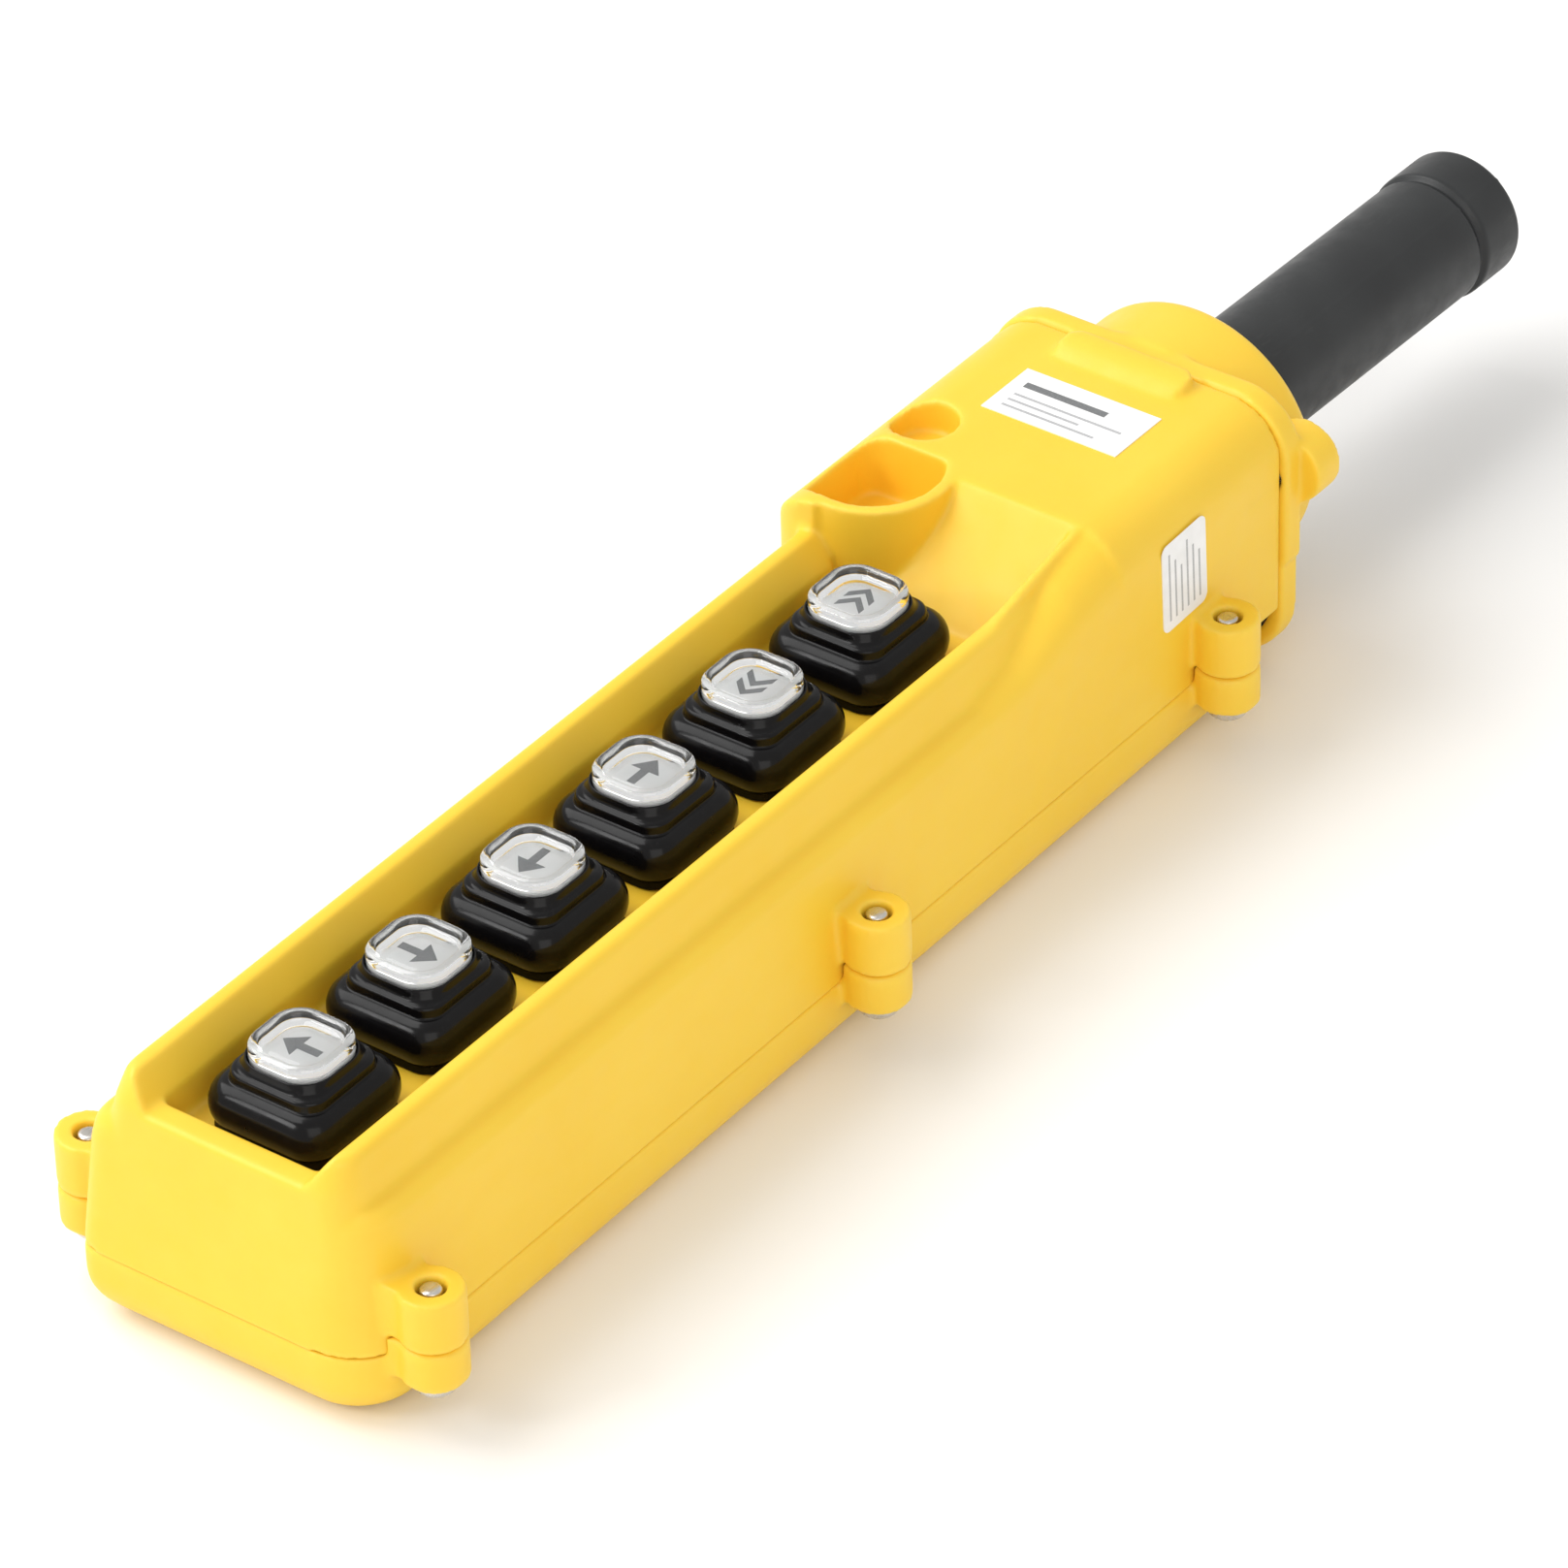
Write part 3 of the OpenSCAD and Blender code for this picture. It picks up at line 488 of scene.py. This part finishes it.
SLEEVE_R, COLLAR_R, BORE_R, FLANGE_R = 13.0, 13.5, 7.5, 16.4
SLEEVE_START, FLANGE_END, BELL_END, COLLAR_START, SLEEVE_END = 284.4, 287.8, 294.2, 373.0, 385.2
END_EDGE_R = 1.5
LIFT, LIFT_OVER, DROOP_PER_MM = 1.5, 14.0, 0.0235
SEAM_ANGLE, SEAM_HEIGHT, SEAM_WIDTH = math.radians(52), 0.16, 0.38


def sleeve_sag(distance):
    """How far the soft sleeve's axis stands above its bore in the bell, in millimetres."""
    free = max(0.0, distance - BELL_END)
    rise = LIFT * math.sin(min(1.0, free / LIFT_OVER) * math.pi / 2)
    return rise - DROOP_PER_MM * max(0.0, free - LIFT_OVER)


def sleeve_profile():
    """(distance, radius) along the outside, round the end and back along the bore."""
    profile = [(SLEEVE_START, BORE_R + 1.0), (SLEEVE_START, FLANGE_R - 0.2), (SLEEVE_START + 0.2, FLANGE_R)]
    profile += [(FLANGE_END - 0.2, FLANGE_R), (FLANGE_END, FLANGE_R - 0.2)]
    profile += [(FLANGE_END, SLEEVE_R + 0.2), (FLANGE_END + 0.4, SLEEVE_R)]
    grip_steps, bore_steps, edge_steps = 40, 20, 8
    first, last = FLANGE_END + 1.5, COLLAR_START - 2.2
    profile += [(first + (last - first) * k / grip_steps, SLEEVE_R) for k in range(grip_steps + 1)]
    # groove in front of the collar
    profile += [(COLLAR_START - 1.5, SLEEVE_R - 0.08), (COLLAR_START - 1.1, SLEEVE_R - 0.45)]
    profile += [(COLLAR_START - 0.6, SLEEVE_R - 0.62), (COLLAR_START - 0.15, SLEEVE_R - 0.45)]
    # collar with a round edge
    profile += [(COLLAR_START + 0.15, COLLAR_R - 0.35), (COLLAR_START + 0.6, COLLAR_R - 0.04)]
    profile += [(COLLAR_START + 1.4, COLLAR_R), (SLEEVE_END - 4, COLLAR_R)]
    for k in range(edge_steps + 1):
        a = math.pi / 2 * k / edge_steps
        along_edge = SLEEVE_END - END_EDGE_R + END_EDGE_R * math.sin(a)
        profile.append((along_edge, COLLAR_R - END_EDGE_R + END_EDGE_R * math.cos(a)))
    # mouth and bore
    profile += [(SLEEVE_END, BORE_R + 0.8), (SLEEVE_END - 0.25, BORE_R + 0.2), (SLEEVE_END - 0.8, BORE_R)]
    first, last = SLEEVE_END - 4, SLEEVE_START + 1
    profile += [(first + (last - first) * k / bore_steps, BORE_R) for k in range(bore_steps + 1)]
    return profile


def sleeve_ring(distance, radius):
    """One ring of the sleeve, with the low ridge of the mould seam along each side of its outside."""
    count = 144
    ring = []
    for k in range(count):
        a = 2 * math.pi * k / count
        r = radius
        if radius > SLEEVE_R - 1:
            for seam in (SEAM_ANGLE, SEAM_ANGLE + math.pi):
                off = (a - seam + math.pi) % (2 * math.pi) - math.pi
                r += SEAM_HEIGHT * math.exp(-((off * radius / SEAM_WIDTH) ** 2))
        z = SLEEVE_Z + (sleeve_sag(distance) + r * math.sin(a)) * MM
        ring.append(Vector((r * math.cos(a) * MM, along(distance), z)))
    return ring


def sleeve():
    bm = bmesh.new()
    tube(bm, [sleeve_ring(distance, radius) for distance, radius in sleeve_profile()], closed=True)
    obj = object_from("rubber_sleeve", bm)
    finish_piece(obj, SLEEVE, nodes=["grip_sleeve"])
    return weighted(obj)


sleeve()

# ---------------------------------------------------------------- buttons

FLOOR_Z, BOOT_TOP = 40.5, 52.4
CAP_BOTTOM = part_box("cap_1")[0][2] / MM
CAP_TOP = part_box("cap_1")[1][2] / MM
CAP_HALF, CAP_CORNER, CAP_EDGE_R = 8.2, 5.8, 1.05
INSERT_TOP, LENS_UNDER = 55.0, 55.14
BULGE_HALF, BULGE_OUT, BULGE_Z, BULGE_UP = 10.0, 3.4, 45.6, 4.7
TIER_EDGE_R = 0.75
FLANGE_HALF, FLANGE_LOW, FLANGE_HIGH = 14.0, 36.75, 37.95
NECK_HALF, HOLE_HALF = 10.4, 8.3


def boot_outside():
    """(half width, corner radius, height) of a two-tier boot, from its foot to the ring round the cap."""
    rings = [(12.1, 4.6, FLOOR_Z + 0.12), (12.5, 4.9, FLOOR_Z + 0.35)]
    # lower tier: a fat bulge
    for k in range(17):
        a = math.radians(-62 + 142 * k / 16)
        corner = 3.4 + 2.6 * math.cos(a)
        rings.append((BULGE_HALF + BULGE_OUT * math.cos(a), corner, BULGE_Z + BULGE_UP * math.sin(a)))
    # groove between the tiers
    rings += [(10.3, 3.9, 50.28), (10.02, 3.8, 50.36), (9.96, 3.8, 50.6)]
    # upper tier, rising to a collar that holds the cap
    for k in range(6):
        a = math.radians(90 * k / 5)
        height = BOOT_TOP - TIER_EDGE_R + TIER_EDGE_R * math.sin(a)
        rings.append((9.25 + TIER_EDGE_R * math.cos(a), 3.9 + 0.4 * math.cos(a), height))
    rings += [(9.0, 4.6, BOOT_TOP + 0.15), (8.78, 5.4, BOOT_TOP + 1.0), (8.68, 5.8, BOOT_TOP + 1.8)]
    rings += [(8.52, 5.8, BOOT_TOP + 2.1), (8.36, 5.85, BOOT_TOP + 1.95), (8.33, 5.85, BOOT_TOP + 1.0)]
    rings += [(8.33, 5.85, BOOT_TOP - 0.5), (7.9, 5.4, BOOT_TOP - 0.75), (5.2, 2.4, BOOT_TOP - 0.75)]
    return rings


def boot_hollow():
    """The same for the underside, from the top of the hollow back down to the foot."""
    upper = [(5.2, 2.4, 50.4), (8.2, 3.4, 50.2), (8.6, 3.5, 48.6)]
    lower = [(11.0, 4.2, 47.8), (11.4, 4.3, 42.0), (10.9, 4.2, FLOOR_Z + 0.12)]
    return upper + lower


def boot(number):
    centre = node_centre(f"cap_{number}")
    bm = bmesh.new()
    tube(bm, square_rings(centre, boot_outside() + boot_hollow()), closed=True)
    dome = object_from(f"boot_dome_{number}", bm)
    finish_piece(dome, BOOT, nodes=[f"boot_{number}"])
    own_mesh(dome)

    edge = 0.3
    sizes = [(HOLE_HALF, 3.5, FLANGE_LOW), (FLANGE_HALF - edge, 3.7, FLANGE_LOW)]
    sizes += [(FLANGE_HALF, 4.0, FLANGE_LOW + edge), (FLANGE_HALF, 4.0, FLANGE_HIGH - edge)]
    sizes += [(FLANGE_HALF - edge, 3.7, FLANGE_HIGH), (NECK_HALF, 4.0, FLANGE_HIGH)]
    sizes += [(NECK_HALF, 4.0, FLOOR_Z + 0.1), (HOLE_HALF, 3.5, FLOOR_Z + 0.1)]
    bm = bmesh.new()
    tube(bm, square_rings(centre, sizes), closed=True)
    flange = object_from(f"boot_flange_{number}", bm)
    finish_piece(flange, BOOT)
    weighted(flange)


def cap(number):
    """Clear cap: a rounded rim, a sloping inner wall and a lens plate, over a white insert."""
    centre = node_centre(f"cap_{number}")
    sizes = [(3.0, 1.6, LENS_UNDER), (7.3, 5.0, LENS_UNDER), (7.62, 5.3, 55.0), (7.62, 5.3, CAP_BOTTOM)]
    sizes += [(CAP_HALF - 0.3, CAP_CORNER - 0.3, CAP_BOTTOM), (CAP_HALF, CAP_CORNER, CAP_BOTTOM + 0.3)]
    sizes += [(CAP_HALF, CAP_CORNER, CAP_TOP - 1.2)]
    for out, up in arc(CAP_HALF - CAP_EDGE_R, CAP_TOP - CAP_EDGE_R, CAP_EDGE_R, 0, 90, 8):
        sizes.append((out, out - 2.4, up))
    sizes += [(6.7, 4.35, CAP_TOP - 0.15), (6.4, 4.1, CAP_TOP - 0.55), (6.1, 3.9, CAP_TOP - 1.3)]
    sizes += [(5.75, 3.6, CAP_TOP - 1.62), (3.0, 1.6, CAP_TOP - 1.5)]
    bm = bmesh.new()
    skin(bm, square_rings(centre, sizes))
    lens = object_from(f"cap_lens_{number}", bm)
    finish_piece(lens, CLEAR, body=f"button_{number}", nodes=[f"cap_{number}"])

    tray = [(7.2, 4.9, CAP_BOTTOM + 0.62), (7.5, 5.2, CAP_BOTTOM + 0.75), (7.5, 5.2, INSERT_TOP - 0.15)]
    tray += [(7.3, 5.0, INSERT_TOP), (3.0, 1.6, INSERT_TOP)]
    bm = bmesh.new()
    skin(bm, square_rings(centre, tray))
    insert = object_from(f"legend_insert_{number}", bm)
    finish_piece(insert, INSERT, body=f"button_{number}", nodes=[f"legend_{number}"])


def return_spring(number):
    """The CAD spring's wire as a piece of its own."""
    node = f"spring_{number}"
    obj = bpy.data.objects.new(f"return_spring_{number}", frame["nodes"][node].data.copy())
    bpy.context.scene.collection.objects.link(obj)
    finish_piece(obj, SPRING, nodes=[node])
    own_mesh(obj)


# ---------------------------------------------------------------- printed shapes

PRINT_T, LABEL_PRINT_T = 0.05, 0.03


def flat_shape(name, outlines, to_world, material, body, thickness_mm):
    """Thin printed shapes. Each outline is a list of (x, y) in millimetres."""
    bm = bmesh.new()
    for outline in outlines:
        skin(bm, [[to_world(x, y, lift) for x, y in outline] for lift in (0.0, thickness_mm)])
    obj = object_from(name, bm)
    obj.data.materials.append(material)
    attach(obj, body)


ARROW = [(-0.85, -4.1), (0.85, -4.1), (0.85, 0.3), (3.0, 0.3), (0.0, 4.1), (-3.0, 0.3), (-0.85, 0.3)]
CHEVRON = [(-2.8, -1.5), (0.0, 1.3), (2.8, -1.5), (2.8, 0.2), (0.0, 3.0), (-2.8, 0.2)]


def chevrons():
    return [[(x, y + shift) for x, y in CHEVRON] for shift in (-2.3, 0.8)]


# Turn in degrees and outlines of the plain arrow on each cap
PICTOGRAMS = {
    1: (90, [ARROW]),
    2: (-90, [ARROW]),
    3: (180, [ARROW]),
    4: (0, [ARROW]),
    5: (180, chevrons()),
    6: (0, chevrons()),
}


def pictogram(number):
    centre = node_centre(f"cap_{number}")
    angle, outlines = PICTOGRAMS[number]
    turn = Matrix.Rotation(math.radians(angle), 3, "Z")

    def to_world(x, y, lift):
        p = turn @ Vector((x, y, 0))
        return Vector((centre.x + p.x * MM, centre.y + p.y * MM, (INSERT_TOP + lift) * MM))

    flat_shape(f"pictogram_{number}", outlines, to_world, INK, f"button_{number}", PRINT_T)


for number in BUTTONS:
    boot(number)
    return_spring(number)
    cap(number)
    pictogram(number)

# ---------------------------------------------------------------- labels: blank film with plain printed bars

SIDE_LABEL_TILT = math.radians(2.5)


def bar(x0, y0, x1, y1):
    return [(x0, y0), (x1, y0), (x1, y1), (x0, y1)]


def front_label_print():
    centre = node_centre("front_label")
    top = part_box("front_label")[1][2]

    def to_world(x, y, lift):
        return Vector((centre.x + x * MM, centre.y + y * MM, top + lift * MM))

    thick = [bar(-12.2, 1.9, 6.0, 3.6)]
    thin = [bar(-12.2, -1.1, 11.6, -0.5), bar(-12.2, -3.1, 3.5, -2.5), bar(-12.2, -5.1, 8.2, -4.5)]
    flat_shape("front_label_bars", thick, to_world, INK, HOUSING, LABEL_PRINT_T)
    flat_shape("front_label_lines", thin, to_world, PALE_INK, HOUSING, LABEL_PRINT_T)


def side_label_print():
    centre = node_centre("side_label")
    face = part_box("side_label")[1][0]

    def to_world(x, y, lift):
        across = x * math.cos(SIDE_LABEL_TILT) - y * math.sin(SIDE_LABEL_TILT)
        up = x * math.sin(SIDE_LABEL_TILT) + y * math.cos(SIDE_LABEL_TILT)
        return Vector((face + lift * MM, centre.y + across * MM, centre.z + up * MM))

    columns = [bar(-5.0 + 1.9 * k, -7.6, -4.5 + 1.9 * k, 7.4 - 2.2 * (k % 3)) for k in range(6)]
    flat_shape("side_label_lines", columns, to_world, PALE_INK, HOUSING, LABEL_PRINT_T)


front_label_print()
side_label_print()

# ---------------------------------------------------------------- carried-over CAD nodes

CARRIED = {
    LABEL: ("front_label", "side_label"),
    SEAL: ("case_gasket", "bell_gasket"),
    PLATE: ("sleeve_ring", "clamp_saddle", "clamp_strap", "boot_plate", "chassis_rail"),
    SCREW: ("ring_screws", "clamp_screws", "boot_plate_screws", "rail_screws", "terminal_screws"),
    GREEN: ("ground_screw",),
    CREAM: ("terminal_block",) + tuple(f"plunger_{n}" for n in BUTTONS),
    BLACK: tuple(f"contact_block_{n}" for n in BUTTONS),
}
for material, names in CARRIED.items():
    for name in names:
        node = frame["nodes"][name]
        node.data.materials.clear()
        node.data.materials.append(material)

# ---------------------------------------------------------------- floor, light and camera


def floor():
    bm = bmesh.new()
    bmesh.ops.create_grid(bm, x_segments=1, y_segments=1, size=6.0)
    obj = object_from("studio_floor", bm)
    s = Shader("studio_paper")
    s.colour(s.mix(s.spread(s.noise(60, 2), 0.3, 0.7, 0, 1), (0.93, 0.925, 0.915), (0.95, 0.945, 0.935)))
    s.set(Roughness=0.9, Specular_IOR_Level=0.1)
    obj.data.materials.append(s.material)


def area_light(name, place, target, size, power, colour=(1, 1, 1)):
    light = bpy.data.lights.new(name, "AREA")
    light.shape = "SQUARE"
    light.size = size
    light.energy = power
    light.color = colour
    obj = bpy.data.objects.new(name, light)
    obj.location = place
    obj.rotation_mode = "QUATERNION"
    obj.rotation_quaternion = (Vector(target) - Vector(place)).to_track_quat("-Z", "Y")
    bpy.context.scene.collection.objects.link(obj)


def world(strength):
    scene_world = bpy.data.worlds.new("studio")
    scene_world.use_nodes = True
    background = scene_world.node_tree.nodes["Background"]
    background.inputs["Color"].default_value = (1.0, 0.995, 0.985, 1.0)
    background.inputs["Strength"].default_value = strength
    bpy.context.scene.world = scene_world


CAMERA_AZIMUTH, CAMERA_ELEVATION, CAMERA_ROLL = (math.radians(v) for v in (37.25, 35.89, -1.654))
CAMERA_PLACE = (0.8306, -1.1232, 1.0214)
CAMERA_LENS = 216.55


def camera():
    away = Vector((math.sin(CAMERA_AZIMUTH), -math.cos(CAMERA_AZIMUTH), 0))
    back = away * math.cos(CAMERA_ELEVATION) + Vector((0, 0, math.sin(CAMERA_ELEVATION)))
    level = Vector((math.cos(CAMERA_AZIMUTH), math.sin(CAMERA_AZIMUTH), 0))
    rise = back.cross(level)
    right = level * math.cos(CAMERA_ROLL) + rise * math.sin(CAMERA_ROLL)
    up = rise * math.cos(CAMERA_ROLL) - level * math.sin(CAMERA_ROLL)
    data = bpy.data.cameras.new("camera")
    data.sensor_width = 36.0
    data.lens = CAMERA_LENS
    data.clip_start = 0.1
    data.clip_end = 50.0
    obj = bpy.data.objects.new("camera", data)
    basis = Matrix((right, up, back)).transposed().to_4x4()
    basis.translation = Vector(CAMERA_PLACE)
    obj.matrix_world = basis
    bpy.context.scene.collection.objects.link(obj)
    bpy.context.scene.camera = obj


floor()
world(0.74)
area_light("key", (-0.85, -0.3, 1.2), (0, -0.02, 0.03), 1.1, 13)
area_light("fill", (0.95, -0.95, 0.9), (0, 0, 0.03), 1.0, 4, (1.0, 0.985, 0.96))
area_light("strip", (-0.55, -1.0, 0.75), (0, 0, 0.03), 0.35, 3)
camera()
# The plain sRGB view keeps the white floor white
bpy.context.scene.view_settings.view_transform = "Standard"
